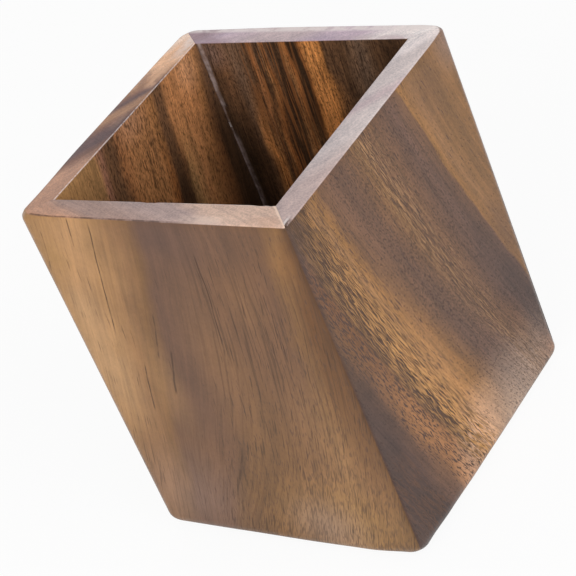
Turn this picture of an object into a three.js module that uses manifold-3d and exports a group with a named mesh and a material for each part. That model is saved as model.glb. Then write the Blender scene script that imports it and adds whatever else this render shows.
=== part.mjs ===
// A square wooden pen holder: four mitred wall boards glued round a bottom panel that sits in a groove.
// Millimetres, +Z up. The origin is the middle of the footprint, on the surface that the holder stands on.
// The front wall faces -Y, and the right wall faces +X.
import * as THREE from "three";
import { mergeVertices } from "three/addons/utils/BufferGeometryUtils.js";
import Module from "manifold-3d";

// Driving sizes of the box
const boxWidth = 77;
const boxHeight = 100;
const wallThickness = 6.8;

// Hand-sanded roundings on the outside
const cornerRound = 3.2;
const baseRound = 5;
const rimEase = 0.5;

// Bottom panel and the groove that holds it
const panelThickness = 5;
const panelLift = 3;
const grooveDepth = 3;
const grooveClearance = 0.1;

// Film of glue between two mitred ends
const glueLine = 0.1;

// Steps in which the round stretches are made
const cornerSteps = 10;
const roundSteps = 8;

// Worked out from the sizes above
const wellWidth = boxWidth - 2 * wallThickness;
const grooveWidth = wellWidth + 2 * grooveDepth;
const grooveHeight = panelThickness + 2 * grooveClearance;
const panelWidth = grooveWidth - 2 * grooveClearance;
const cutterMargin = 5;

const wasm = await Module();
wasm.setup();

// Turns a closed three.js geometry into a solid that can be cut.
function solidFrom(geometry) {
  const bare = geometry.clone();
  bare.deleteAttribute("normal");
  bare.deleteAttribute("uv");
  const merged = mergeVertices(bare, 1e-4);
  return new wasm.Manifold(
    new wasm.Mesh({
      numProp: 3,
      vertProperties: merged.attributes.position.array,
      triVerts: new Uint32Array(merged.index.array),
    }),
  );
}

// Turns a cut solid back into a three.js geometry with flat-shaded faces.
function geometryFrom(solid) {
  const mesh = solid.getMesh();
  const indexed = new THREE.BufferGeometry();
  indexed.setAttribute("position", new THREE.BufferAttribute(mesh.vertProperties, 3));
  indexed.setIndex(new THREE.BufferAttribute(mesh.triVerts, 1));
  const flat = indexed.toNonIndexed();
  flat.computeVertexNormals();
  return flat;
}

// An upright square block, centred on the Z axis, from one height to another.
function squareBlock(width, bottom, top) {
  const block = new THREE.BoxGeometry(width, width, top - bottom);
  block.translate(0, 0, (bottom + top) / 2);
  return solidFrom(block);
}

// One level of the outside: a square with round corners, drawn in from the box's full width by inset.
function roundedSquare(inset, z) {
  const middle = boxWidth / 2 - inset - cornerRound;
  const points = [];
  for (const [quarter, [x, y]] of [[1, 1], [-1, 1], [-1, -1], [1, -1]].entries()) {
    for (let step = 0; step <= cornerSteps; step++) {
      const angle = (quarter + step / cornerSteps) * (Math.PI / 2);
      points.push([
        x * middle + cornerRound * Math.cos(angle),
        y * middle + cornerRound * Math.sin(angle),
        z,
      ]);
    }
  }
  return points;
}

// The whole outside as one block: a rounded base edge, upright faces and an eased rim edge.
function outsideBlock() {
  const levels = [];
  for (let step = 0; step <= roundSteps; step++) {
    const angle = (step / roundSteps) * (Math.PI / 2);
    levels.push(roundedSquare(baseRound * (1 - Math.sin(angle)), baseRound * (1 - Math.cos(angle))));
  }
  levels.push(roundedSquare(0, boxHeight - rimEase));
  levels.push(roundedSquare(rimEase, boxHeight));

  const perLevel = levels[0].length;
  const positions = levels.flat(2);
  const faces = [];
  for (let level = 0; level < levels.length - 1; level++) {
    for (let i = 0; i < perLevel; i++) {
      const a = level * perLevel + i;
      const b = level * perLevel + ((i + 1) % perLevel);
      faces.push(a, b, b + perLevel, a, b + perLevel, a + perLevel);
    }
  }
  const topStart = (levels.length - 1) * perLevel;
  for (let i = 1; i < perLevel - 1; i++) {
    faces.push(0, i + 1, i);
    faces.push(topStart, topStart + i, topStart + i + 1);
  }
  const geometry = new THREE.BufferGeometry();
  geometry.setAttribute("position", new THREE.Float32BufferAttribute(positions, 3));
  geometry.setIndex(faces);
  return solidFrom(geometry);
}

// The quarter of the box that belongs to the front wall, cut back by half a glue line at each mitre.
function frontQuarter() {
  const reach = boxWidth;
  const apex = -glueLine / Math.SQRT2;
  const outline = new THREE.Shape([
    new THREE.Vector2(0, apex),
    new THREE.Vector2(-reach, apex - reach),
    new THREE.Vector2(reach, apex - reach),
  ]);
  const wedge = new THREE.ExtrudeGeometry(outline, {
    depth: boxHeight + 2 * cutterMargin,
    bevelEnabled: false,
  });
  wedge.translate(0, 0, -cutterMargin);
  return solidFrom(wedge);
}

// The front wall board: mitred at both ends, rounded outside and grooved inside for the bottom panel.
function wallGeometry() {
  const well = squareBlock(wellWidth, -cutterMargin, boxHeight + cutterMargin);
  const groove = squareBlock(grooveWidth, panelLift, panelLift + grooveHeight);
  const board = outsideBlock().intersect(frontQuarter()).subtract(well).subtract(groove);
  return geometryFrom(board);
}

// The bottom panel, which lies in the groove all round.
function panelGeometry() {
  const panel = new THREE.BoxGeometry(panelWidth, panelWidth, panelThickness);
  panel.translate(0, 0, panelLift + grooveClearance + panelThickness / 2);
  return panel;
}

function woodMesh(name, geometry, color) {
  const material = new THREE.MeshStandardMaterial({ color, roughness: 0.45, metalness: 0 });
  const mesh = new THREE.Mesh(geometry, material);
  mesh.name = name;
  return mesh;
}

const penHolder = new THREE.Group();

// Four boards of one shape, a quarter turn apart, each with its own wood colour.
const wallBoards = [
  { name: "front_wall", quarterTurns: 0, color: 0x8a6646 },
  { name: "right_wall", quarterTurns: 1, color: 0x75543c },
  { name: "back_wall", quarterTurns: 2, color: 0x5a3a24 },
  { name: "left_wall", quarterTurns: 3, color: 0x7a5434 },
];
const boardShape = wallGeometry();
for (const { name, quarterTurns, color } of wallBoards) {
  const wall = woodMesh(name, boardShape.clone(), color);
  wall.rotation.z = quarterTurns * (Math.PI / 2);
  penHolder.add(wall);
}

penHolder.add(woodMesh("bottom_panel", panelGeometry(), 0x6b4a30));

export default penHolder;
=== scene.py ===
"""Looks of a square wooden pen holder: four mitred hardwood boards round a bottom panel."""
import math
from collections import namedtuple
from functools import reduce

import bmesh
import bpy
from mathutils import Matrix, Vector


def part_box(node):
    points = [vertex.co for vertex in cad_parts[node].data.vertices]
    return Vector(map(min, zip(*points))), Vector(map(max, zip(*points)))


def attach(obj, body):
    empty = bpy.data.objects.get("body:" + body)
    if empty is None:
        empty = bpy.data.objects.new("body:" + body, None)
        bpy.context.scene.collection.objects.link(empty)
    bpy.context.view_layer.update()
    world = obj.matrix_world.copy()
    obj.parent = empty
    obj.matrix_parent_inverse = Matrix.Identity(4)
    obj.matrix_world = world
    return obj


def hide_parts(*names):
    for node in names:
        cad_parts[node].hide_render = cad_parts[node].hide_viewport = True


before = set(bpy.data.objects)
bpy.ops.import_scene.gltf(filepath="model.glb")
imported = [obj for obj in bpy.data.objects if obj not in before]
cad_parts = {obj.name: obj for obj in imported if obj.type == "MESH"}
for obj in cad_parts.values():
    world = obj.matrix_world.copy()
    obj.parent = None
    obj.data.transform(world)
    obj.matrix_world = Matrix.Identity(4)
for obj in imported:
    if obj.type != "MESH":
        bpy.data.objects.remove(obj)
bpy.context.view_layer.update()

MM = 0.001

# Sizes from the frame, in millimetres
front_low, front_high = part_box("front_wall")
panel_low, panel_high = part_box("bottom_panel")
HALF_WIDTH = -front_low[1] / MM
HEIGHT = front_high[2] / MM
THICKNESS = (front_high[1] - front_low[1]) / MM
PANEL_HALF = panel_high[0] / MM
PANEL_BOTTOM = panel_low[2] / MM
PANEL_TOP = panel_high[2] / MM

# Sizes of the sanded edges and the groove, in millimetres
RIM_EASE = 0.35
INNER_EDGE_EASE = 0.3
PANEL_EDGE_EASE = 0.4
GROOVE_DEPTH = 3.0
GROOVE_CLEARANCE = 0.1
MITRE_GAP = 0.02

# Camera: it looks down at the near corner, and is rolled. In degrees and millimetres.
CAMERA_AZIMUTH = 43.709
CAMERA_ELEVATION = 32.407
CAMERA_ROLL = -23.222
CAMERA_DISTANCE = 541.3
CAMERA_TARGET_HEIGHT = 50.05
CAMERA_SHIFT_RIGHT = -3.412
CAMERA_SHIFT_DOWN = 0.195
CAMERA_LENS = 139.42
CAMERA_SENSOR = 36
CAMERA_CLIP_METRES = 0.01

# Layers of noise in the wood. Each has the width and length of its swells in millimetres, its own step from
# the board's seed, and its detail. Sizes of None come from the pores, threads or edge that the layer is for.
LAYERS = {
    "sway": (12, 40, 1, 1.0),
    "jitter": (1.5, 12, 2, 1.0),
    "lobes": (9, 13, 4, 1.0),
    "streaks": (3.4, 60, 0, 2.0),
    "threads": (1.1, 30, 3, 1.0),
    "fibres": (0.42, 9, 7, 1.0),
    "clouds": (8, 12, 11, 2.0),
    "mottle": (1.8, 1.5, 15, 2.0),
    "specks": (0.36, 0.8, 13, 1.0),
    "pore_ripple": (None, None, 17, 1.0),
    "pore_dashes": (None, None, 23, 0.0),
    "pore_crowds": (5, 16, 29, 1.0),
    "thread_waves": (None, None, 71, 1.0),
    "thread_lines": (None, None, 73, 0.0),
    "hairline_wander": (4, 9, 41, 1.0),
    "hairline_breaks": (0.8, 3.5, 43, 0.0),
    "smear_blots": (2, 2.2, 53, 2.0),
    "rim_wave": (7, 5, 30, 1.0),
    "rim_rings": (1.6, 9, 31, 2.0),
    "rim_blots": (4, 2.2, 33, 2.0),
    "rim_specks": (0.45, 0.45, 37, 1.0),
    "rim_edge_breaks": (None, None, 61, 2.0),
}
NOISE_TURN = (0.62, 0.85, 0.4)
NOISE_MIDDLE = 0.5

# How much of a streak's darkness reaches red, green and blue. Blue changes least, so dark streaks are greyer.
STREAK_CHANNELS = (1.0, 0.95, 0.85)

# Finish of the wood
BUMP_STRENGTH = 0.4
BUMP_METRES = 0.0001
FIBRE_BUMP = 0.3
ROUGHNESS = 0.4
ROUGHNESS_SWING = 0.1
PORE_ROUGHNESS = 0.2
RIM_ROUGHNESS = 0.1
COAT_ON_FACES = 0.56
COAT_ON_RIM = 0.2
PLAIN_FINISH = {"Specular IOR Level": 0.05, "Coat Roughness": 0.14, "Sheen Weight": 0.04,
                "Sheen Roughness": 0.2}


# Small helpers

def linear(hex_colour):
    """An sRGB colour such as 'a07850' as linear red, green, blue and alpha."""
    channels = [int(hex_colour[i:i + 2], 16) / 255 for i in (0, 2, 4)]
    return [c / 12.92 if c <= 0.04045 else ((c + 0.055) / 1.055) ** 2.4 for c in channels] + [1.0]


def blend_between(a, b, t):
    return a + (b - a) * t


def smooth_step(low, high, value):
    t = min(max((value - low) / (high - low), 0.0), 1.0)
    return t * t * (3 - 2 * t)


def direction(azimuth, elevation):
    """A unit vector from the holder to a place round it, by its angles in degrees."""
    azimuth, elevation = math.radians(azimuth), math.radians(elevation)
    level = math.cos(elevation)
    return Vector((math.sin(azimuth) * level, -math.cos(azimuth) * level, math.sin(elevation)))


class Graph:
    """Makes the nodes of a material or world from function calls, which read as a formula."""

    def __init__(self, owner):
        owner.use_nodes = True
        self.nodes = owner.node_tree.nodes
        self.links = owner.node_tree.links
        self.nodes.clear()

    def node(self, kind, inputs=None, **settings):
        """A node of a kind, with the inputs and settings that are named."""
        made = self.nodes.new("ShaderNode" + kind)
        for key, value in settings.items():
            setattr(made, key, value)
        for name, value in (inputs or {}).items():
            self.feed(made.inputs[name], value)
        return made

    def feed(self, socket, value):
        if isinstance(value, bpy.types.NodeSocket):
            self.links.new(value, socket)
        else:
            socket.default_value = value

    def feed_all(self, sockets, values):
        for socket, value in zip(sockets, values):
            self.feed(socket, value)

    def math(self, operation, *values):
        made = self.node("Math", operation=operation)
        self.feed_all(made.inputs, values)
        return made.outputs[0]

    def add(self, a, b):
        return self.math("ADD", a, b)

    def subtract(self, a, b):
        return self.math("SUBTRACT", a, b)

    def multiply(self, a, b):
        return self.math("MULTIPLY", a, b)

    def times_add(self, a, b, c):
        return self.math("MULTIPLY_ADD", a, b, c)

    def greater(self, a, b):
        return self.math("MAXIMUM", a, b)

    def distance(self, a, b):
        return self.math("ABSOLUTE", self.subtract(a, b))

    def vector(self, x, y, z=0.0):
        made = self.node("CombineXYZ")
        self.feed_all(made.inputs, (x, y, z))
        return made.outputs[0]

    def fade(self, value, start, end, low=0.0, high=1.0):
        """Goes smoothly from low to high as value goes from start to end."""
        made = self.node("MapRange", interpolation_type="SMOOTHSTEP", clamp=True)
        self.feed_all(made.inputs, (value, start, end, low, high))
        return made.outputs[0]

    def noise(self, vector, detail):
        """Smooth noise from about 0 to 1, one swell per unit of the vector.

        The vector is turned first, so that a flat board cuts the noise at a slant and no rows show.
        """
        turn = {"Vector": vector, "Rotation": NOISE_TURN}
        turned = self.node("VectorRotate", turn, rotation_type="EULER_XYZ").outputs[0]
        inputs = {"Vector": turned, "Scale": 1.0, "Detail": detail}
        return self.node("TexNoise", inputs, noise_dimensions="3D", normalize=True).outputs["Fac"]

    def layer(self, name, a, b, seed, size=None):
        """One of the LAYERS of noise, over two lengths in millimetres."""
        width, length, step, detail = LAYERS[name]
        width, length = size or (width, length)
        place = self.vector(self.multiply(a, 1 / width), self.multiply(b, 1 / length), seed + step)
        return self.noise(place, detail)

    def swing(self, noise, amount):
        """A noise as a number round 0, up to half the amount each way."""
        return self.multiply(self.subtract(noise, NOISE_MIDDLE), amount)

    def shifted(self, value, noise, amount):
        """A value that the noise moves by up to half the amount each way."""
        return self.times_add(self.subtract(noise, NOISE_MIDDLE), amount, value)

    def stops(self, value, stops):
        """A colour that runs straight from each given stop to the next."""
        low, high = stops[0][0], stops[-1][0]
        made = self.node("ValToRGB")
        self.feed(made.inputs[0], self.times_add(value, 1 / (high - low), -low / (high - low)))
        elements = made.color_ramp.elements
        elements.remove(elements[-1])
        for index, (place, colour) in enumerate(stops):
            position = (place - low) / (high - low)
            element = elements[0] if index == 0 else elements.new(position)
            element.position = position
            element.color = colour
        return made.outputs[0]

    def bands(self, value, bands):
        """Bands of wood tone across the grain: each a tone with its one place, or with its two ends."""
        stops = [(place, linear(TONES[tone])) for tone, *places in bands for place in places]
        return self.stops(value, stops)

    def curve(self, value, points):
        """A number that runs straight from each point to the next, or one plain number."""
        if isinstance(points, (int, float)):
            return points
        numbers = [number for place, number in points]
        low, high = min(numbers), max(numbers)
        greys = [(place, [(number - low) / (high - low)] * 3 + [1.0]) for place, number in points]
        return self.times_add(self.stops(value, greys), high - low, low)

    def blend(self, share, a, b):
        """A number that goes from a to b as share goes from 0 to 1."""
        made = self.node("Mix", data_type="FLOAT", clamp_factor=True)
        self.feed_all([made.inputs[index] for index in (0, 2, 3)], (share, a, b))
        return made.outputs[0]

    def mix(self, amount, a, b, mode="MIX"):
        made = self.node("Mix", data_type="RGBA", blend_type=mode, clamp_factor=True)
        self.feed_all([made.inputs[index] for index in (0, 6, 7)], (amount, a, b))
        return made.outputs[2]

    def stained(self, colour, mask, tone):
        """A colour that turns to a wood tone where the mask is strong."""
        return self.mix(mask, colour, linear(TONES[tone]))

    def shaded(self, colour, tone):
        """A colour made lighter or darker."""
        channels = [self.times_add(tone, share, 1.0) for share in STREAK_CHANNELS]
        return self.mix(1.0, colour, self.vector(*channels), "MULTIPLY")


# Wood tones, as they look under plain white light

TONES = dict(
    wheat="c1976b", honey="b4885c", gold="a97f53", straw="9c744c", tan="8e6743", amber="7f5b38",
    umber="73523a", taupe="6b4d3b", mauve="664b3e", smoke="564038", plum="4a3832", orange="b5824f",
    copper="a27046", ember="b87a44", rust="a06438", chestnut="7c5233", olive="94683a", russet="a06b45",
    sienna="b07a4f", walnut="6a4626", drab="735a48", henna="9c6d56", apricot="c58757", flame="d48d50",
    brass="a37c4b", ochre="cc9658", cocoa="5f4430", coffee="4a3424", ebony="38281c", pitch="2e2018",
    # On the rim's end grain, on pale places, and for painted highlights along edges
    fawn="ba8d74", clay="a08378", dove="aa928c", shell="d0af9c", peach="e6b590", cream="f2d4c0",
    sand="a67b5d", bark="7b5648", shade="5e4444", stone="b9a39f", oat="b9a08e", ash="cbbdbb",
    rose="c1acae", pearl="e5d8d6", heather="9c828a", lilac="bea8b5", chalk="e8dcd9", milk="f8eeeb",
)


# Places and masks on a board

def place_on_shown_face(g, board):
    """Millimetres across the board, up from the desk, and in from the board's outside."""
    split = g.node("SeparateXYZ", {"Vector": g.node("TexCoord").outputs["Object"]})
    x, y, up = (g.multiply(out, 1 / MM) for out in split.outputs)
    across, outward = (x, y) if board["runs_along"] == "x" else (y, x)
    depth = g.subtract(HALF_WIDTH, g.math("ABSOLUTE", outward))
    return across, up, depth


def fibre_line(g, board, across, up, lean):
    """Where a fibre with this lean through a point meets the rim, in millimetres."""
    down = g.subtract(HEIGHT, up)
    line = g.add(across, g.multiply(down, lean))
    return g.add(line, g.multiply(g.multiply(down, down), board["bend"]))


def grain_line(g, board, across, up, depth):
    """A number that stays the same along one fibre: where the fibre meets the rim, in millimetres."""
    lean_top = g.curve(across, board["lean_top"])
    lean_base = g.curve(across, board["lean_base"])
    lean = g.blend(g.multiply(up, 1 / HEIGHT), lean_base, lean_top)
    line = fibre_line(g, board, across, up, lean)
    inward = g.subtract(depth, board["shown_depth"])
    return g.times_add(inward, board["ring_tilt"], line)


def band_colour(g, board, line, u, across, up):
    """The board's bands of colour, with ragged and lobed edges, which change from the base to the rim."""
    seed = board["seed"]
    u = g.shifted(u, g.layer("jitter", line, up, seed), board["band_jitter"])
    u = g.shifted(u, g.layer("lobes", across, up, seed), board["lobes"])
    base, top = g.bands(u, board["base_bands"]), g.bands(u, board["top_bands"])
    return g.mix(g.fade(up, *board["band_change"]), base, top)


def streak_tone(g, board, u, across, up):
    """How much lighter or darker the streaks, fibres, clouds and specks make the wood, round 0."""
    swings = []
    for name, strength in board["layers"].items():
        start = across if name in ("clouds", "mottle") else u
        swings.append(g.swing(g.layer(name, start, up, board["seed"]), strength))
    return reduce(g.add, swings)


def pore_mask(g, pores, line, straight, up, seed):
    """Short dark dashes along the grain. The limit says where: the lower it is, the more there are."""
    crowding = 0.16
    dash_start = -0.02
    if "ripple" in pores:
        ripple = g.layer("pore_ripple", straight, up, seed, (pores["ripple_width"], pores["ripple_length"]))
        straight = g.shifted(straight, ripple, pores["ripple"])
    dash = g.layer("pore_dashes", straight, up, seed, (pores["width"], pores["length"]))
    limit = g.curve(line, pores["limits"])
    if "limits_up" in pores:
        limit = g.add(limit, g.curve(up, pores["limits_up"]))
    limit = g.shifted(limit, g.layer("pore_crowds", line, up, seed), -crowding)
    return g.multiply(g.fade(g.subtract(dash, limit), dash_start, pores["soft"]), pores["strength"])


def thread_mask(g, threads, line, up, seed):
    """Fine wavering threads along the grain, where stretched noise passes from start to full."""
    wave = g.layer("thread_waves", line, up, seed, (threads["wave_width"], threads["wave_length"]))
    waving = g.shifted(line, wave, threads["wave"])
    level = g.layer("thread_lines", waving, up, seed, (threads["width"], threads["length"]))
    mask = g.fade(level, threads["start"], threads["full"], 0.0, threads["strength"])
    mask = g.multiply(mask, g.curve(line, threads["where"]))
    if "where_up" in threads:
        mask = g.multiply(mask, g.curve(up, threads["where_up"]))
    return mask


def stretch_mask(g, up, low, high, solid_share, strength=1.0):
    """Strong between two heights, fading toward both. The solid share is how much of it doesn't fade."""
    reach = (high - low) / 2
    return g.fade(g.distance(up, (low + high) / 2), reach, reach * solid_share, 0.0, strength)


def broken(g, mask, noise, start, end, faintest):
    """A mask that is fainter where the noise is low."""
    return g.multiply(mask, g.fade(noise, start, end, faintest, 1.0))


def hairline_mask(g, lines, line, up, seed):
    """Long dark pore lines, each listed: its place across the rim, two ends, width and strength."""
    wander, core_share, solid_share = 0.9, 0.3, 0.75
    wandering = g.shifted(line, g.layer("hairline_wander", line, up, seed), wander)
    masks = []
    for place, low, high, width, strength in lines:
        mask = g.fade(g.distance(wandering, place), width, width * core_share)
        masks.append(g.multiply(mask, stretch_mask(g, up, low, high, solid_share, strength)))
    breaks = g.layer("hairline_breaks", line, up, seed)
    return broken(g, reduce(g.greater, masks), breaks, start=0.3, end=0.5, faintest=0.45)


def smear_mask(g, smear, across, up, depth, seed):
    """A thin pale smear on the inside face from one point to another."""
    wander, wander_length, wander_step = 0.8, 6, 51
    core_share, solid_share = 0.2, 0.8
    face_start, face_full = THICKNESS - 1.5, THICKNESS - 1.0
    (low_across, low_up), (high_across, high_up) = smear.ends
    slope = (high_across - low_across) / (high_up - low_up)
    centre = g.times_add(g.subtract(up, low_up), slope, low_across)
    wandering = g.noise(g.vector(seed + wander_step, g.multiply(up, 1 / wander_length)), 2.0)
    away = g.distance(across, g.shifted(centre, wandering, wander))
    mask = g.fade(away, smear.width, smear.width * core_share, 0.0, smear.strength)
    mask = g.multiply(mask, stretch_mask(g, up, low_up, high_up, solid_share))
    mask = broken(g, mask, g.layer("smear_blots", across, up, seed), start=0.35, end=0.65, faintest=0.35)
    return g.multiply(mask, g.fade(depth, face_start, face_full))


def painted_edge_shading_mask(g, edge, across, up, seed):
    """Painted light toward an upright edge of the box: a darker tone paints shade, a paler one paints a
    highlight.
    """
    ragged_step, ragged_height, ragged_width = 55, 3, 2
    away = g.times_add(across, -edge.side, HALF_WIDTH)
    ragged_up, ragged_across = g.multiply(up, 1 / ragged_height), g.multiply(across, 1 / ragged_width)
    away = g.shifted(away, g.noise(g.vector(seed + ragged_step, ragged_up, ragged_across), 2.0), edge.width)
    mask = g.fade(away, edge.width, 0.0, 0.0, edge.strength)
    return g.multiply(mask, g.curve(up, edge.where_up))


def patch_mask(g, patch, across, up):
    """A soft oval, strongest in its middle."""
    a = g.multiply(g.subtract(across, patch.across), 1 / patch.half_width)
    b = g.multiply(g.subtract(up, patch.up), 1 / patch.half_height)
    a = g.times_add(b, patch.lean, a)
    reach = g.math("SQRT", g.add(g.multiply(a, a), g.multiply(b, b)))
    return g.fade(reach, 1.0, 0.0, 0.0, patch.strength)


def end_grain(g, board, across, depth):
    """End grain on the rim: paler bands with slanting rings and open pores, painted lighter at the outer edge
    as a highlight and darker toward the well as shade.
    """
    wave, blot_strength, speck_strength = 3.0, 0.5, 0.7
    outer_painted_light, inner_painted_shade = 0.06, -0.1
    seed = board["seed"]
    slant = g.times_add(g.subtract(depth, THICKNESS / 2), board["ring_slant"], across)
    place = g.shifted(slant, g.layer("rim_wave", across, depth, seed), wave)
    tone = g.swing(g.layer("rim_rings", place, depth, seed), board["rings"])
    tone = g.shifted(tone, g.layer("rim_blots", across, depth, seed), blot_strength)
    tone = g.shifted(tone, g.layer("rim_specks", across, depth, seed), speck_strength)
    # Painted light and shade: lighter at the rim's outside, darker toward the well
    tone = g.add(tone, g.fade(depth, 0.0, THICKNESS, outer_painted_light, inner_painted_shade))
    return g.shaded(g.bands(place, board["rim_bands"]), tone)


def rim_edge_mask(g, edge, across, depth, seed):
    """A thin line along the rim, broken up along its length. Pale lines on eased edges are painted
    highlights, dark lines on rounded outer edges and in chips are painted shade, and the rest are changes of
    tone.
    """
    core_share, widest_break = 0.3, 2
    away = g.distance(depth, g.curve(across, edge.depth))
    size = (edge.break_length, min(edge.break_length, widest_break))
    breaks = g.layer("rim_edge_breaks", across, depth, seed, size)
    mask = g.fade(away, edge.width, edge.width * core_share, 0.0, edge.strength)
    mask = g.multiply(mask, g.curve(across, edge.along))
    return broken(g, mask, breaks, start=0.3, end=0.55, faintest=0.3)


def mitre_highlight_mask(g, side, across, depth, seed):
    """A pale line painted at a board's mitre as a highlight on its eased edge. Side 1 is the board's right
    end, -1 its left.
    """
    wander, wander_length = 0.5, 1.5
    line_start, line_full = -0.6, -0.2
    strength = 0.75
    away = g.add(g.subtract(g.multiply(across, side), HALF_WIDTH), depth)
    away = g.shifted(away, g.noise(g.vector(g.multiply(depth, 1 / wander_length), seed), 1.0), wander)
    return g.multiply(g.fade(away, line_start, line_full), strength)


# Wood

def face_colour(g, board, line, u, across, up, depth):
    """The colour of a board's faces, and how dark the pores and lines in it are."""
    seed = board["seed"]
    seed_step = 50
    colour = band_colour(g, board, line, u, across, up)
    for patch in board["patches"]:
        colour = g.stained(colour, patch_mask(g, patch, across, up), patch.tone)
    colour = g.shaded(colour, streak_tone(g, board, u, across, up))

    dark = []
    for number, pores in enumerate(board["pores"]):
        straight = fibre_line(g, board, across, up, pores["lean"]) if "lean" in pores else line
        dark.append(pore_mask(g, pores, line, straight, up, seed + seed_step * number))
        colour = g.stained(colour, dark[-1], pores["tone"])
    for threads in board["thread_sets"]:
        mask = thread_mask(g, threads, line, up, seed + threads["seed_step"])
        colour = g.stained(colour, mask, threads["tone"])
        if threads["full"] < threads["start"]:
            dark.append(mask)
    if board["hairlines"]:
        dark.append(hairline_mask(g, board["hairlines"], line, up, seed))
        colour = g.stained(colour, dark[-1], "coffee")

    # Painted shade and painted highlights along the upright edges
    for edge in board["painted_edge_shading"]:
        colour = g.stained(colour, painted_edge_shading_mask(g, edge, across, up, seed), edge.tone)
    for smear in board["smears"]:
        colour = g.stained(colour, smear_mask(g, smear, across, up, depth, seed), smear.tone)
    return colour, reduce(g.greater, dark)


def rim_colour(g, board, across, depth):
    """End grain with lines along its edges, some of them painted highlights and painted shade, and, where the
    photo shows one, the pale mitre line painted as a highlight.
    """
    seed = board["seed"]
    colour = end_grain(g, board, across, depth)
    for edge in board["rim_edges"]:
        colour = g.stained(colour, rim_edge_mask(g, edge, across, depth, seed), edge.tone)
    if "mitre_highlight" in board:
        colour = g.stained(colour, mitre_highlight_mask(g, board["mitre_highlight"], across, depth, seed), "cream")
    return colour


def wood_material(name, board):
    material = bpy.data.materials.new(name)
    g = Graph(material)
    seed = board["seed"]
    across, up, depth = place_on_shown_face(g, board)
    line = grain_line(g, board, across, up, depth)
    u = g.shifted(line, g.layer("sway", line, up, seed), board["sway"])
    face, dark = face_colour(g, board, line, u, across, up, depth)
    rim = rim_colour(g, board, across, depth)
    on_rim = g.fade(up, HEIGHT - RIM_EASE, HEIGHT - 0.3 * RIM_EASE)

    fibre = g.layer("fibres", u, up, seed)
    bump = g.node("Bump", {
        "Strength": BUMP_STRENGTH,
        "Distance": BUMP_METRES,
        "Height": g.subtract(g.multiply(fibre, FIBRE_BUMP), dark),
    })
    rough = g.times_add(dark, PORE_ROUGHNESS, g.shifted(ROUGHNESS, fibre, ROUGHNESS_SWING))
    shader = g.node("BsdfPrincipled", {
        "Base Color": g.mix(on_rim, face, rim),
        "Roughness": g.times_add(on_rim, RIM_ROUGHNESS, rough),
        "Normal": bump.outputs[0],
        "Coat Weight": g.times_add(on_rim, COAT_ON_RIM - COAT_ON_FACES, COAT_ON_FACES),
        **PLAIN_FINISH,
    })
    g.node("OutputMaterial", {"Surface": shader.outputs[0]})
    return material


# Parts of a board's figure. Lengths are in millimetres, and strengths go from 0 to 1.

# A soft oval of another tone: its middle, its half sizes, and how much it leans
Patch = namedtuple("Patch", "across up half_width half_height tone strength lean", defaults=[0.0])

# Painted light toward an upright edge: a darker tone paints shade, a paler one paints a highlight. Side 1 is
# the board's right end, -1 its left.
PaintedEdgeShading = namedtuple("PaintedEdgeShading", "side width strength tone where_up")

# A thin smear on the inside face: its lower and upper end, its width, strength and tone
Smear = namedtuple("Smear", "ends width strength tone")

# A line along the rim: its depth in from the board's outside, and how strong it is along the board
RimEdge = namedtuple("RimEdge", "depth width strength tone along break_length", defaults=[2.5])

# How far the well's four corners lie from a true square at the rim, as x and y in millimetres
WELL_SHIFTS = {
    (-1, -1): (0.78, -0.47),
    (1, -1): (-0.19, 0.61),
    (1, 1): (-0.65, 1.2),
    (-1, 1): (0.61, 0.11),
}


def inner_edge(side_x, side_y):
    """Where the rim's inner edge lies along the wall on that side, as places across the board and depths."""
    points = []
    for end in (-1, 1):
        shift_x, shift_y = WELL_SHIFTS[side_x or end, side_y or end]
        points.append((end * HALF_WIDTH, THICKNESS - side_x * shift_x - side_y * shift_y))
    return points


# Kinds of pores: dashes along the grain. Soft is how slowly a dash fades in, and a ripple makes rows waver.

HAIR_PORES = dict(width=0.36, length=6, soft=0.14, strength=0.45, tone="pitch")
SHORT_PORES = dict(HAIR_PORES, width=0.4, length=1.8, ripple=0.3, ripple_width=2, ripple_length=4)
DOT_PORES = dict(HAIR_PORES, width=0.4, length=0.8, ripple=0.5, ripple_width=1.5, ripple_length=2)
WAVY_PORES = dict(width=0.3, length=1.9, ripple=0.4, ripple_width=1.2, ripple_length=3,
                  soft=0.08, strength=0.9, tone="plum")
LINE_PORES = dict(WAVY_PORES, width=0.32, length=3.6, ripple=0.5, ripple_width=2, ripple_length=4,
                  soft=0.1, strength=0.7)


# Kinds of threads. Dark ones have full below start, and pale ones have it above.

WEAVE_DARK = dict(width=0.2, length=4, wave=0.9, wave_width=1.1, wave_length=2.4, seed_step=0,
                  start=0.53, full=0.45, strength=0.85, tone="coffee")
WEAVE_GOLD = dict(WEAVE_DARK, length=4.5, start=0.52, full=0.58, strength=0.9, tone="ochre")
LONG_LINES = dict(width=0.6, length=22, wave=0.6, wave_width=3, wave_length=14, seed_step=0,
                  start=0.44, full=0.32, strength=0.42, tone="coffee")
FINE_LINES = dict(LONG_LINES, width=0.38, length=9, wave=0.5, start=0.46, strength=0.3)


# Each board's figure. Bands are places across the grain at the rim, in millimetres, with a tone for each. All
# other lists of pairs are places along or up the board and the number there. A lean is how far a fibre moves
# across for each millimetre down, and limits say how few pores there are.

PLAIN_WOOD = dict(
    shown_depth=0, lean_top=0, lean_base=0, bend=0, ring_tilt=0,
    patches=[], thread_sets=[], hairlines=[], painted_edge_shading=[], smears=[],
    rings=0, ring_slant=0, rim_edges=[],
)


# Front wall's wood

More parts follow.
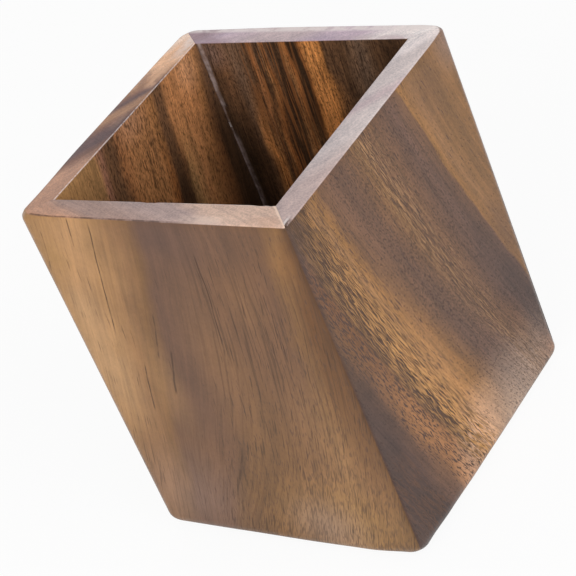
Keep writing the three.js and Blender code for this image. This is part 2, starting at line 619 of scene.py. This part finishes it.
FRONT_WOOD = dict(
    PLAIN_WOOD, runs_along="x", seed=1,
    lean_top=[(-38, 0.2), (-26, 0.22), (-16, 0.23), (-8, 0.19), (2, 0.13), (11, 0.07), (20, 0.05),
              (38, 0.08)],
    lean_base=[(-38, 0.12), (-26, 0.13), (-18, 0.17), (-9, 0.15), (2, 0.09), (11, 0.03), (20, 0.02),
               (38, 0.08)],
    bend=0.0013, ring_tilt=0.4, sway=3, band_jitter=2, lobes=8, band_change=(20, 75),
    layers=dict(streaks=0.45, threads=0.3, fibres=0.25, clouds=0.4, mottle=0.15, specks=0.2),
    top_bands=[("gold", -34, -29), ("honey", -25, -20), ("gold", -17), ("straw", -14), ("tan", -10),
               ("amber", -6), ("taupe", -2, 6), ("umber", 12, 30), ("amber", 35), ("walnut", 39, 52)],
    base_bands=[("straw", -22, -18), ("tan", -14, -10), ("amber", -6), ("umber", -2, 11), ("amber", 15, 20),
                ("tan", 26), ("straw", 36), ("tan", 46), ("amber", 56)],
    patches=[
        Patch(-32, 58, 12, 30, "wheat", 0.75), Patch(-32, 88, 6, 7, "brass", 0.5),
        Patch(-31, 72, 5, 9, "wheat", 0.6), Patch(-26, 60, 6, 5, "gold", 0.5),
        Patch(33, 90, 7, 9, "olive", 0.35), Patch(-6, 52, 10, 26, "taupe", 0.45, -0.3),
        Patch(8, 96, 26, 14, "mauve", 0.5), Patch(0, 95, 8, 8, "smoke", 0.35),
        Patch(3, 58, 13, 38, "tan", 0.5), Patch(18, 76, 9, 16, "tan", 0.35),
        # The brass patch here and the stone patch on the next line, low on the board, are partly wood tone
        # and partly a painted pale reflection near the foot
        Patch(-17, 52, 8, 22, "gold", 0.45), Patch(20, 8, 30, 22, "brass", 0.7),
        Patch(14, 8, 16, 14, "stone", 0.25), Patch(-26, 12, 26, 24, "dove", 0.2),
        Patch(36, 52, 11, 40, "walnut", 0.6),
    ],
    pores=[
        dict(HAIR_PORES, lean=0.1,
             limits=[(-40, 0.66), (-14, 0.69), (-6, 0.76), (6, 0.74), (12, 0.67), (18, 0.63), (50, 0.63)],
             limits_up=[(0, -0.04), (22, -0.02), (45, 0), (80, 0.02), (100, 0.08)]),
        dict(SHORT_PORES, width=0.34, lean=0.05, strength=0.42, tone="plum",
             limits=[(-40, 0.82), (2, 0.76), (12, 0.64), (26, 0.56), (60, 0.56)],
             limits_up=[(0, -0.02), (25, -0.02), (45, 0.05), (100, 0.12)]),
    ],
    thread_sets=[
        dict(LONG_LINES, where=[(-40, 0.15), (-14, 0.25), (-4, 0.2), (6, 0.3), (10, 1), (40, 0.8)],
             where_up=[(0, 0.3), (36, 0.4), (52, 1), (82, 0.9), (95, 0.3)]),
        dict(FINE_LINES, seed_step=50, where=[(-40, 0.5), (-16, 0.7), (8, 1), (18, 0.6), (60, 0.5)],
             where_up=[(0, 1), (26, 1), (42, 0.3), (60, 0.1)]),
    ],
    hairlines=[(-16.8, 64, 100, 0.3, 0.8), (-22.8, 91, 100, 0.3, 0.7), (-9.6, 41, 57, 0.3, 0.8),
               (-4.4, 58, 73, 0.3, 0.6), (-1.2, 47, 62, 0.35, 0.75), (10.9, 60, 93, 0.28, 0.75),
               (12.4, 13, 32, 0.3, 0.6), (-32, 84, 96, 0.25, 0.5), (23, 58, 76, 0.25, 0.5),
               (27, 60, 74, 0.25, 0.5), (19, 62, 78, 0.25, 0.45)],
    painted_edge_shading=[
        # Painted shade along the near corner (the two coffee entries), and a painted highlight along the
        # rounded left corner (ash)
        PaintedEdgeShading(1, 2.4, 0.4, "coffee", [(0, 0.5), (15, 0.7), (90, 1)]),
        PaintedEdgeShading(1, 0.7, 0.75, "coffee", 1),
        PaintedEdgeShading(-1, 2.6, 0.75, "ash", [(0, 0.35), (50, 0.5), (85, 0.7), (100, 1)]),
    ],
    rings=0.6, ring_slant=2.4, mitre_highlight=1,
    rim_bands=[("fawn", -38, -31), ("clay", -22, -14), ("dove", 0, 10), ("shell", 17, 38)],
    rim_edges=[
        # Painted highlight on the eased inner edge
        RimEdge(inner_edge(0, -1), 0.35, 0.7, "chalk", 1),
        # Painted shade along the rounded outer edge near the left corner
        RimEdge([(-38, 1), (-33, 0.6), (-28, 0.1), (38, 0)], 0.4, 0.8, "plum",
                [(-38, 1), (4, 0.9), (16, 0), (38, 0)]),
        RimEdge(1.3, 2.2, 0.5, "cream", [(8, 0), (14, 1), (19, 1), (25, 0)]),
        RimEdge(1.6, 2.6, 0.35, "fawn", [(26, 0), (31, 1), (35, 1), (37.5, 0)]),
    ],
)


# Right wall's wood

RIGHT_WOOD = dict(
    PLAIN_WOOD, runs_along="y", seed=300,
    lean_top=[(-10, -0.238), (8, -0.225), (14, -0.21), (40, -0.21)],
    lean_base=[(-8, -0.18), (4, -0.19), (16, -0.21), (40, -0.21)],
    bend=-0.00155, ring_tilt=0.5, sway=1.2, band_jitter=1.2, lobes=3, band_change=(15, 85),
    layers=dict(streaks=0.6, threads=0.5, fibres=0.6, clouds=0.4, mottle=0.25, specks=0.6),
    top_bands=[("coffee", -50), ("cocoa", -45), ("chestnut", -41), ("cocoa", -38.5, -34.5), ("olive", -32),
               ("tan", -29.5), ("olive", -27), ("umber", -24), ("taupe", -20, -15), ("umber", -12),
               ("amber", -8), ("umber", -5, 0), ("taupe", 4), ("mauve", 8), ("umber", 12.7),
               ("olive", 13.4), ("tan", 17), ("amber", 20, 34)],
    base_bands=[("plum", -73, -56), ("smoke", -52), ("taupe", -48), ("copper", -45, -40),
                ("cocoa", -38.5, -35.5), ("orange", -34, -26), ("olive", -22), ("umber", -18),
                ("mauve", -14.5, -8), ("umber", -4), ("taupe", 0), ("smoke", 4), ("plum", 10),
                ("smoke", 12.7), ("amber", 13.4), ("tan", 30)],
    patches=[
        # The oat and peach patches low on the board are partly wood tone and partly a painted pale reflection
        # along the rounded foot
        Patch(14, 0, 38, 28, "oat", 0.8), Patch(-3, 9, 15, 16, "peach", 0.7),
        Patch(-38, 34, 16, 34, "plum", 0.95), Patch(-38, 94, 6, 16, "mauve", 0.85),
        Patch(38, 99, 10, 14, "dove", 0.4), Patch(33, 43, 10, 18, "smoke", 0.4),
        Patch(24, 92, 12, 14, "taupe", 0.3), Patch(-31, 66, 8, 16, "walnut", 0.35),
        Patch(-19, 50, 9, 20, "olive", 0.2), Patch(25, 22, 7, 12, "chestnut", 0.3, 0.5),
        # The cocoa patch at the near top corner is painted shade in the chip
        Patch(-20, 15, 9, 12, "umber", 0.5), Patch(-37.5, 97, 3, 5, "cocoa", 0.8),
        Patch(38, 2, 12, 12, "fawn", 0.4),
    ],
    pores=[
        dict(WAVY_PORES,
             limits=[(-80, 0.8), (-50, 0.74), (-46, 0.6), (-43, 0.55), (-40, 0.54), (-38, 0.6),
                     (-33.5, 0.7), (-29, 0.74), (-24, 0.8), (45, 0.8)]),
        dict(LINE_PORES,
             limits=[(-80, 0.8), (-38, 0.7), (-34, 0.62), (-30, 0.59), (-26, 0.62), (-22, 0.7), (-18, 0.72),
                     (-9, 0.66), (-6, 0.58), (-3, 0.62), (2, 0.72), (45, 0.8)],
             limits_up=[(0, 0.08), (30, 0.04), (55, 0), (100, 0)]),
        dict(DOT_PORES,
             limits=[(-80, 0.66), (-50, 0.66), (-24, 0.66), (-18, 0.56), (-4, 0.55), (8, 0.57), (13, 0.66),
                     (30, 0.7)]),
    ],
    thread_sets=[
        dict(WEAVE_DARK, length=2.2, wave=0.7, start=0.54, full=0.48, strength=0.9,
             where=[(-40.5, 0), (-39, 0.8), (-37.6, 1), (-35, 1), (-33.5, 0.4), (-32, 0)]),
        dict(WEAVE_DARK, seed_step=20, length=4.5, wave=0.9, start=0.5, full=0.43, strength=0.95,
             where=[(-37.5, 0), (-36, 1), (-31, 1), (-29, 0.5), (-26, 0)]),
        dict(WEAVE_GOLD, where=[(-40, 0), (-38.5, 0.5), (-37, 0.6), (-35, 1), (-31, 0.8), (-27, 0)],
             where_up=[(0, 0.9), (45, 1), (65, 0.8), (82, 0.6), (96, 0.1)]),
        dict(WEAVE_GOLD, seed_step=50, width=0.26, tone="honey", strength=0.7,
             where=[(-10, 0), (-7.4, 0.6), (-6, 1), (-4, 0.6), (-1, 0.3), (1, 0)],
             where_up=[(0, 0.3), (40, 0.7), (70, 1), (100, 1)]),
        dict(WEAVE_DARK, seed_step=50, width=0.3, length=5, wave=0.8, strength=0.45, start=0.48,
             where=[(-14, 0), (-10, 0.6), (-6, 1), (-2, 0.8), (3, 0.2), (6, 0)]),
        dict(WEAVE_GOLD, seed_step=90, width=0.34, length=6, wave=1.6, start=0.52, tone="chestnut",
             strength=0.35, where=[(-70, 0), (-62, 0.7), (-54, 0.7), (-49, 0)],
             where_up=[(0, 0), (6, 1), (24, 1), (34, 0)]),
    ],
    painted_edge_shading=[
        # Painted shade along the near corner (plum), and a painted highlight along the rounded far corner
        # (rose)
        PaintedEdgeShading(-1, 0.8, 0.6, "plum", 1),
        PaintedEdgeShading(-1, 2.4, 0.55, "plum", [(0, 0), (55, 0.1), (85, 1), (100, 1)]),
        PaintedEdgeShading(1, 2.4, 0.6, "rose", [(0, 0.3), (100, 1)]),
    ],
    rings=0.3, ring_slant=1.5,
    rim_bands=[("stone", -38, -22), ("ash", -8, 4), ("rose", 9), ("ash", 15, 27), ("pearl", 31),
               ("chalk", 38)],
    rim_edges=[
        # Painted highlight on the eased inner edge
        RimEdge(inner_edge(1, 0), 0.3, 0.5, "chalk", 1),
        # Painted shade in the chipped near corner
        RimEdge(0.6, 1.3, 0.95, "coffee", [(-38.5, 1), (-36.6, 0.8), (-34.6, 0)], 0.5),
        # Painted highlight on the chip's eased edge
        RimEdge(1.2, 0.5, 0.9, "chalk", [(-38.5, 1), (-36, 1), (-34, 0)], 0.4),
    ],
)


# Back wall's wood, which the photo shows inside

BACK_WOOD = dict(
    PLAIN_WOOD, runs_along="x", seed=600, shown_depth=THICKNESS, lean_top=0.06, lean_base=0.06,
    ring_tilt=0.5, sway=1.6, band_jitter=1.8, lobes=2.8, band_change=(64, 90),
    layers=dict(streaks=0.9, threads=1.2, fibres=1, clouds=0.5, mottle=0.9, specks=0.9),
    top_bands=[("umber", -40, -31), ("cocoa", -28), ("umber", -24), ("drab", -20), ("cocoa", -16.8),
               ("russet", -16, -15), ("cocoa", -14.4, -12.8), ("copper", -12.2), ("rust", -11.2),
               ("cocoa", -10.4), ("coffee", -8), ("cocoa", -6.4), ("copper", -5.7), ("rust", -4.6),
               ("coffee", -3.8), ("ebony", -3.2, -1.4), ("rust", -0.6), ("flame", 0.4, 3.6), ("ember", 5),
               ("cocoa", 6.4), ("umber", 8.5), ("cocoa", 11), ("drab", 16), ("cocoa", 20), ("coffee", 25),
               ("cocoa", 29), ("umber", 32)],
    base_bands=[("coffee", -40), ("ebony", -31, -26), ("coffee", -23), ("cocoa", -20.6), ("copper", -19.8),
                ("flame", -18.2), ("copper", -16.6), ("cocoa", -15.8, -15), ("copper", -14.4),
                ("rust", -12.8), ("coffee", -12, -9), ("cocoa", -7.6), ("copper", -6.4, -4.4),
                ("coffee", -3.6), ("ebony", -1.4), ("ember", 0), ("flame", 2, 4), ("ember", 5.6),
                ("cocoa", 7.4, 20), ("coffee", 38)],
    patches=[
        Patch(4, 84, 6, 9, "flame", 0.45), Patch(-6, 72, 6, 8, "copper", 0.35),
        Patch(-12, 96, 6, 7, "drab", 0.35), Patch(-27, 97, 6, 7, "dove", 0.25),
    ],
    pores=[
        dict(DOT_PORES, width=0.3, strength=0.6, limits=0.58),
        dict(HAIR_PORES, width=0.32, strength=0.6, limits=0.6),
    ],
    thread_sets=[
        dict(LONG_LINES, wave=1, length=16, strength=0.5, tone="ebony", start=0.46, full=0.36,
             where=[(-20, 0), (-16, 1), (-4, 1), (0, 0.3), (5, 0.3), (9, 0.2)]),
        dict(LONG_LINES, seed_step=30, width=0.5, length=14, wave=1, strength=0.5, tone="rust", start=0.54,
             full=0.64, where=[(-21, 0), (-16, 1), (-5, 1), (-1, 0.3), (8, 0)]),
    ],
    smears=[
        Smear([(-30.9, 30), (-30.6, 99)], 0.5, 0.4, "stone"),
        Smear([(-30.7, 30), (-30.3, 74)], 1.3, 0.3, "stone"),
        Smear([(-30.5, 80), (-29.7, 103)], 1, 0.5, "ash"),
        Smear([(-30.9, 74.4), (-30.9, 76)], 0.6, 1, "chalk"),
    ],
    rings=0.35, ring_slant=1.2,
    rim_bands=[("heather", -38, -30), ("lilac", -24), ("rose", -12, 0), ("lilac", 8, 17), ("pearl", 24),
               ("chalk", 30), ("milk", 35, 38)],
    rim_edges=[
        # Painted highlight along the rim's outer side
        RimEdge(0.8, 2, 0.8, "chalk", 1),
        RimEdge(5.6, 2, 0.8, "rose", [(-20, 0), (6, 0), (22, 0.8), (30, 1), (34, 0)]),
        RimEdge(6, 2.6, 0.7, "heather", [(-36, 0), (-31, 0.9), (-25, 1), (-19, 0), (40, 0)]),
    ],
)


# Left wall's wood, which the photo shows inside

LEFT_WOOD = dict(
    PLAIN_WOOD, runs_along="y", seed=900, shown_depth=THICKNESS, lean_top=0.18, lean_base=0.18,
    ring_tilt=0.5, sway=1.6, band_jitter=1.6, lobes=2.5, band_change=(70, 94),
    layers=dict(streaks=0.6, threads=0.8, fibres=0.8, clouds=0.5, mottle=0.5, specks=0.7),
    top_bands=[("gold", -40, -30), ("straw", -15), ("henna", -13), ("umber", -11, -8), ("russet", -5),
               ("sienna", -1, 7), ("copper", 10), ("umber", 11.4, 14.2), ("apricot", 16, 27),
               ("copper", 29.5), ("umber", 32, 36)],
    base_bands=[("olive", -40, -14.5), ("coffee", -13.4), ("ebony", -11), ("cocoa", -7.5),
                ("chestnut", -5.5), ("copper", -2, 7), ("rust", 9.5), ("coffee", 11.8, 16), ("gold", 18.4),
                ("sienna", 23), ("copper", 26), ("chestnut", 31), ("coffee", 34)],
    patches=[
        Patch(25, 97, 7, 9, "peach", 0.3), Patch(0, 99, 9, 8, "fawn", 0.4),
    ],
    pores=[
        dict(SHORT_PORES, width=0.36, length=1.7, strength=0.6,
             limits=[(-40, 0.74), (-16, 0.72), (-13, 0.57), (-6, 0.55), (11, 0.56), (16, 0.64),
                     (34, 0.64)]),
        dict(DOT_PORES, width=0.3, strength=0.4, limits=[(-40, 0.7), (-16, 0.66), (-13, 0.56), (34, 0.56)]),
    ],
    rings=0.4, ring_slant=-1.6,
    rim_bands=[("fawn", -38, -22), ("bark", -17), ("shade", -13, -7), ("bark", -3), ("sand", 0, 3),
               ("shade", 7), ("bark", 10), ("sand", 14), ("peach", 20, 29), ("cream", 35)],
    rim_edges=[
        # Painted highlight on the eased inner edge
        RimEdge(inner_edge(-1, 0), 0.26, 0.6, "chalk", 1, 0.9),
        # Painted shade along the rounded outer edge
        RimEdge(0.2, 0.7, 0.8, "plum", [(-38, 0.4), (-26, 1), (14, 1), (20, 0.2), (38, 0)]),
        RimEdge(1.6, 2.2, 0.6, "bark", [(11, 0), (14.5, 1), (18, 1), (21, 0)]),
        RimEdge(5.4, 2, 0.6, "peach",
                [(-6, 0), (-2, 0.25), (3, 0.2), (6, 0), (11, 0), (14, 1), (19, 1), (22, 0)]),
        RimEdge(5.6, 2.4, 0.6, "chalk", [(23, 0), (31, 1), (38, 1)]),
    ],
)


# Bottom panel's wood

PANEL_BANDS = [("amber", -40), ("tan", -10), ("umber", 15), ("taupe", 40)]
PANEL_WOOD = dict(
    PLAIN_WOOD, runs_along="x", seed=1200, top_bands=PANEL_BANDS, base_bands=PANEL_BANDS,
    sway=3, band_jitter=2, lobes=4, band_change=(20, 90),
    layers=dict(streaks=0.6, threads=0.5, fibres=0.4, clouds=0.3, mottle=0.1, specks=0.2),
    pores=[dict(HAIR_PORES, limits=0.62)],
    rim_bands=[("umber", -38, 38)],
)


# Wall boards

ARC_STEPS = 8
STRAIGHT_STEPS = 160
BASE_STEPS = 12
FACE_STEPS = 40
EASE_STEPS = 4
RIM_STEPS = 8
MITRE_ANGLE = math.pi / 4
QUARTER_TURN = math.pi / 2
SHARP_ANGLE = math.radians(40)

# Sanded radius of each upright edge along most of its height. The near edge was left almost crisp.
NEAR_LEFT, NEAR, RIGHT, FAR = 3.0, 0.8, 2.9, 3.8

# Each board from its left end (-1) to its right end (1), seen from outside: what its corner roundings gain at
# the foot, the rounding under it, and the rounding of the rim's outer edge. Dents in the rim's inner edge
# ("nicks") and outer edge ("chips") are each a place, a width and a depth in millimetres.
WALLS = {
    "front_wall": dict(
        wood=FRONT_WOOD, quarter_turns=0, corners=(NEAR_LEFT, NEAR), foot=(-0.35, 3.6),
        base=[(-1, 4.9), (-0.4, 4.5), (0.2, 4.1), (0.6, 4.25), (1, 6.2)],
        rim=[(-1, 1.8), (-0.75, 0.6), (-0.5, RIM_EASE), (1, RIM_EASE)],
        nicks=[(-3.4, 1.2, 0.3), (-1.6, 0.7, 0.25), (25, 1.2, 0.3), (27.6, 0.7, 0.25)],
        chips=[(38.5, 0.5, 0.4)],
    ),
    "right_wall": dict(
        wood=RIGHT_WOOD, quarter_turns=1, corners=(NEAR, RIGHT), foot=(3.6, -1.1),
        base=[(-1, 6.2), (-0.86, 6.4), (-0.6, 5.7), (-0.2, 5), (0.3, 4.6), (1, 4.4)],
        rim=[(-1, RIM_EASE), (0.75, RIM_EASE), (1, 1.2)],
        chips=[(-38.4, 2.2, 0.85), (-37.2, 0.3, 0.3), (-35.9, 0.35, 0.3), (-34.8, 0.25, 0.15)],
    ),
    "back_wall": dict(
        wood=BACK_WOOD, quarter_turns=2, corners=(RIGHT, FAR), foot=(-1.1, -0.6),
        base=[(-1, 4.4), (1, 4.5)],
        rim=[(-1, 1.2), (-0.8, RIM_EASE), (0.1, RIM_EASE), (1, 1.4)],
    ),
    "left_wall": dict(
        wood=LEFT_WOOD, quarter_turns=3, corners=(FAR, NEAR_LEFT), foot=(-0.6, -0.35),
        base=[(-1, 4.5), (1, 4.9)],
        rim=[(-1, 1.4), (-0.6, 1.15), (0.3, 1.15), (0.8, 1.9), (1, 1.8)],
    ),
}
FOOT_BLEND_HEIGHT = 8.0

# Heights between which the well's corners shift
WELL_SHIFT_START = 15.0
WELL_SHIFT_FULL = 70.0


def along_points(points, place):
    """A number that eases from each given point to the next."""
    for (a, start), (b, end) in zip(points, points[1:]):
        if place <= b:
            return blend_between(start, end, smooth_step(a, b, place))
    return points[-1][1]


def arc(steps):
    """Sine and cosine of each angle in a quarter turn."""
    angles = [QUARTER_TURN * step / steps for step in range(steps + 1)]
    return [(math.sin(angle), math.cos(angle)) for angle in angles]


def between(steps):
    """Even shares between 0 and 1, without the two ends."""
    return [step / steps for step in range(1, steps)]


def board_profile(base_round, rim_ease, inner_ease):
    """The board's upright section as a closed loop of (depth, height, share of the corner rounding)."""
    face_top = HEIGHT - rim_ease
    inner_start = THICKNESS - inner_ease
    inner_top = HEIGHT - inner_ease
    groove_depth = THICKNESS - GROOVE_DEPTH
    groove_top = PANEL_TOP + GROOVE_CLEARANCE
    groove_bottom = PANEL_BOTTOM - GROOVE_CLEARANCE
    base = [(base_round * (1 - sine), base_round * (1 - cosine), 1.0) for sine, cosine in arc(BASE_STEPS)]
    face = [(0.0, blend_between(base_round, face_top, t), 1.0) for t in between(FACE_STEPS)]
    rim_outside = [(rim_ease * (1 - cosine), face_top + rim_ease * sine, 1.0)
                   for sine, cosine in arc(EASE_STEPS)]
    rim = [(blend_between(rim_ease, inner_start, t), HEIGHT, 1.0 - t) for t in between(RIM_STEPS)]
    rim_inside = [(inner_start + inner_ease * sine, HEIGHT - inner_ease * (1 - cosine), 0.0)
                  for sine, cosine in arc(EASE_STEPS)]
    inside = [(THICKNESS, blend_between(inner_top, groove_top, t), 0.0) for t in between(FACE_STEPS)]
    groove_and_foot = [
        (THICKNESS, groove_top, 0.0),
        (groove_depth, groove_top, 0.0),
        (groove_depth, groove_bottom, 0.0),
        (THICKNESS, groove_bottom, 0.0),
        (THICKNESS, INNER_EDGE_EASE, 0.0),
        (THICKNESS - INNER_EDGE_EASE, 0.0, 0.0),
    ]
    return base + face + rim_outside + rim + rim_inside + inside + groove_and_foot


def place_on_board(station, depth, rounds):
    """Where a profile point lies along the front board, for a station from one mitre to the other."""
    reach = HALF_WIDTH - depth
    left, right = rounds
    last = 2 * ARC_STEPS + STRAIGHT_STEPS
    steps_from_end = min(station, last - station)
    if steps_from_end > ARC_STEPS:
        t = (station - ARC_STEPS) / STRAIGHT_STEPS
        return blend_between(-reach + left, reach - right, t), -reach
    side, radius = (-1, left) if station <= ARC_STEPS else (1, right)
    angle = MITRE_ANGLE * (1 - steps_from_end / ARC_STEPS)
    return side * (reach - radius * (1 - math.sin(angle))), radius * (1 - math.cos(angle)) - reach


def worn_depth(dents, x):
    """How much more an edge of the rim is worn at x."""
    return sum(size * math.exp(-((x - place) / width) ** 2) for place, width, size in dents)


def shift_well(point):
    """Moves a point near the well's wall so that the well's corners lie where they were measured."""
    x, y, z = point
    depth = HALF_WIDTH - max(abs(x), abs(y))
    share = min(max(depth / THICKNESS, 0.0), 1.0) * smooth_step(WELL_SHIFT_START, WELL_SHIFT_FULL, z)
    well_half = HALF_WIDTH - THICKNESS
    along_x = min(max(x / well_half, -1.0), 1.0)
    along_y = min(max(y / well_half, -1.0), 1.0)
    for (side_x, side_y), (shift_x, shift_y) in WELL_SHIFTS.items():
        weight = share * (1 + side_x * along_x) * (1 + side_y * along_y) / 4
        point.x += weight * shift_x
        point.y += weight * shift_y


def placed_object(name, data):
    """A new object in the scene."""
    made = bpy.data.objects.new(name, data)
    bpy.context.collection.objects.link(made)
    return made


def finished_object(name, bm):
    """Turns a bmesh into an object with smooth faces and sharp creases."""
    for face in bm.faces:
        face.smooth = True
    for edge in bm.edges:
        edge.smooth = len(edge.link_faces) == 2 and edge.calc_face_angle() < SHARP_ANGLE
    mesh = bpy.data.meshes.new(name)
    bm.to_mesh(mesh)
    bm.free()
    return placed_object(name, mesh)


def wall_mesh(name, wall):
    """One mitred board as a closed mesh, swept from mitre to mitre."""
    stations = 2 * ARC_STEPS + STRAIGHT_STEPS + 1
    turn = Matrix.Rotation(wall["quarter_turns"] * QUARTER_TURN, 3, "Z")
    bm = bmesh.new()
    rows = []
    for station in range(stations):
        side = 2 * station / (stations - 1) - 1
        base_round = along_points(wall["base"], side)
        inner_ease = INNER_EDGE_EASE + worn_depth(wall.get("nicks", []), side * (HALF_WIDTH - THICKNESS))
        rim_ease = along_points(wall["rim"], side) + worn_depth(wall.get("chips", []), side * HALF_WIDTH)
        row = []
        for depth, height, share in board_profile(base_round, rim_ease, inner_ease):
            low = 1 - smooth_step(0, FOOT_BLEND_HEIGHT, height)
            rounds = [share * (radius + foot * low) for radius, foot in zip(wall["corners"], wall["foot"])]
            x, y = place_on_board(station, depth, rounds)
            point = turn @ Vector((x, y + MITRE_GAP, height))
            shift_well(point)
            row.append(bm.verts.new(point * MM))
        rows.append(row)
    count = len(rows[0])
    for row, following in zip(rows, rows[1:]):
        for i in range(count):
            j = (i + 1) % count
            bm.faces.new((row[i], row[j], following[j], following[i]))
    ends = [bm.faces.new(rows[0][::-1]), bm.faces.new(rows[-1])]
    bmesh.ops.triangulate(bm, faces=ends)
    bmesh.ops.recalc_face_normals(bm, faces=bm.faces)
    return finished_object(name, bm)


def panel_mesh(name):
    """The bottom panel, with eased edges and a fine surface."""
    bm = bmesh.new()
    bmesh.ops.create_cube(bm, size=1.0)
    thickness = PANEL_TOP - PANEL_BOTTOM
    bmesh.ops.scale(bm, verts=bm.verts, vec=Vector((2 * PANEL_HALF, 2 * PANEL_HALF, thickness)) * MM)
    bmesh.ops.translate(bm, verts=bm.verts, vec=Vector((0, 0, PANEL_BOTTOM + thickness / 2)) * MM)
    ease = PANEL_EDGE_EASE * MM
    bmesh.ops.bevel(bm, geom=bm.edges[:], offset=ease, segments=2, profile=0.5, affect="EDGES")
    return finished_object(name, bm)


def dress(piece, node, slot, wood):
    """Puts a piece in place of its CAD node, with its own wood."""
    piece.data.materials.append(wood_material(slot, wood))
    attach(piece, "root")
    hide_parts(node)


for node, wall in WALLS.items():
    dress(wall_mesh(node + "_board", wall), node, node.replace("wall", "wood"), wall["wood"])
dress(panel_mesh("bottom_panel_board"), "bottom_panel", "panel_wood", PANEL_WOOD)


# Camera

def add_camera():
    roll = math.radians(CAMERA_ROLL)
    back = direction(CAMERA_AZIMUTH, CAMERA_ELEVATION)
    level_right = Vector((0, 0, 1)).cross(back).normalized()
    level_up = back.cross(level_right)
    right = level_right * math.cos(roll) + level_up * math.sin(roll)
    up = back.cross(right)
    target = Vector((0, 0, CAMERA_TARGET_HEIGHT))
    centre = target + right * CAMERA_SHIFT_RIGHT + up * -CAMERA_SHIFT_DOWN + back * CAMERA_DISTANCE
    data = bpy.data.cameras.new("camera")
    data.lens = CAMERA_LENS
    data.sensor_width = CAMERA_SENSOR
    data.clip_start = CAMERA_CLIP_METRES
    camera = placed_object("camera", data)
    axes = Matrix((right, up, back)).transposed()
    camera.matrix_world = Matrix.Translation(centre * MM) @ axes.to_4x4()
    bpy.context.scene.camera = camera


# Floor, world and lights

def add_floor(half_metres, grey, glow_share):
    """A white floor that keeps a faint shadow. Seen from below it is clear."""
    bm = bmesh.new()
    bmesh.ops.create_grid(bm, x_segments=1, y_segments=1, size=half_metres)
    floor = finished_object("floor", bm)
    material = bpy.data.materials.new("floor_white")
    g = Graph(material)
    diffuse = g.node("BsdfDiffuse", {"Color": (grey, grey, grey, 1)})
    glow = g.node("Emission", {"Strength": 1.0})
    seen = g.node("LightPath").outputs["Is Camera Ray"]
    above = g.node("MixShader")
    g.feed_all(above.inputs, (g.multiply(seen, glow_share), diffuse.outputs[0], glow.outputs[0]))
    from_below = g.node("NewGeometry").outputs["Backfacing"]
    clear = g.node("BsdfTransparent")
    surface = g.node("MixShader")
    g.feed_all(surface.inputs, (from_below, above.outputs[0], clear.outputs[0]))
    g.node("OutputMaterial", {"Surface": surface.outputs[0]})
    floor.data.materials.append(material)


def add_world(strength):
    """Plain light from all round, which looks white to the camera, in reflections and through glass."""
    world = bpy.data.worlds.new("studio")
    bpy.context.scene.world = world
    g = Graph(world)
    ray = g.node("LightPath")
    kinds = ("Is Camera Ray", "Is Glossy Ray", "Is Transmission Ray")
    seen = reduce(g.greater, [ray.outputs[kind] for kind in kinds])
    background = g.node("Background", {"Strength": g.blend(seen, strength, 1.0)})
    g.node("OutputWorld", {"Surface": background.outputs[0]})


def add_area_light(name, azimuth, elevation, distance, size, power):
    """A square soft lamp that points at the middle of the holder. Distance and size are in metres."""
    back = direction(azimuth, elevation)
    data = bpy.data.lights.new(name, "AREA")
    data.shape = "SQUARE"
    data.size = size
    data.energy = power
    lamp = placed_object(name, data)
    lamp.location = Vector((0, 0, HEIGHT / 2 * MM)) + back * distance
    lamp.rotation_euler = back.to_track_quat("Z", "Y").to_euler()


add_camera()
add_floor(half_metres=3.0, grey=0.9, glow_share=0.92)
add_world(strength=0.5)
add_area_light("key", azimuth=15, elevation=28, distance=0.9, size=0.6, power=4.0)
add_area_light("fill", azimuth=82, elevation=28, distance=0.9, size=0.7, power=4.0)
add_area_light("sheen", azimuth=223.7, elevation=32, distance=0.9, size=0.5, power=1.0)

bpy.context.scene.view_settings.view_transform = "Standard"
